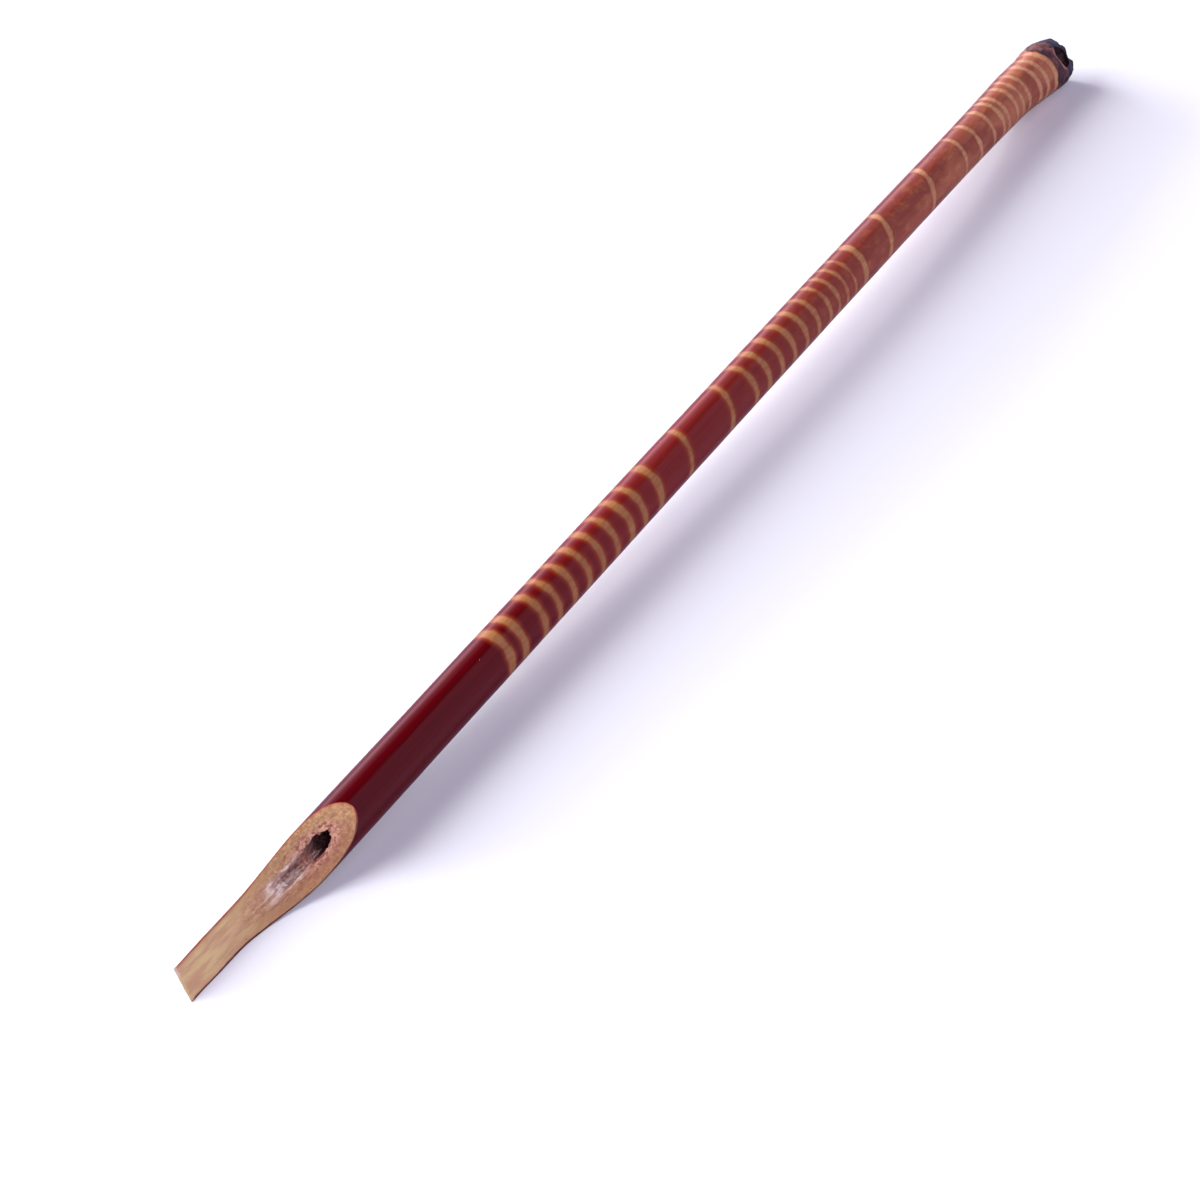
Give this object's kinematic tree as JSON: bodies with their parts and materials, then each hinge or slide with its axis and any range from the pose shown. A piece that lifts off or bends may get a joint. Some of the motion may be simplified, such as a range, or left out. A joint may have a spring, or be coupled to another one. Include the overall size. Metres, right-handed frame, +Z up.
{
  "type": "reed cane cut to a pen",
  "caption": "Slim dark red reed cane with pale rings, a long scooped cut with a flat tongue at one end and a flared, charred root end.",
  "frame": {"origin": "middle of the underside of the cane's box, on the surface that the cane lies on", "axes": "+X along the cane from the cut tip to the root end, +Z up, the cut faces up and towards -Y"},
  "size_m": [0.2514, 0.0086, 0.0093],
  "materials": {
    "reed": "glossy dark red reed skin with pale tan rings, matt tan wood where cut, charred root end"
  },
  "bodies": {
    "root": {"reed_cane": "reed"}
  },
  "joints": []
}
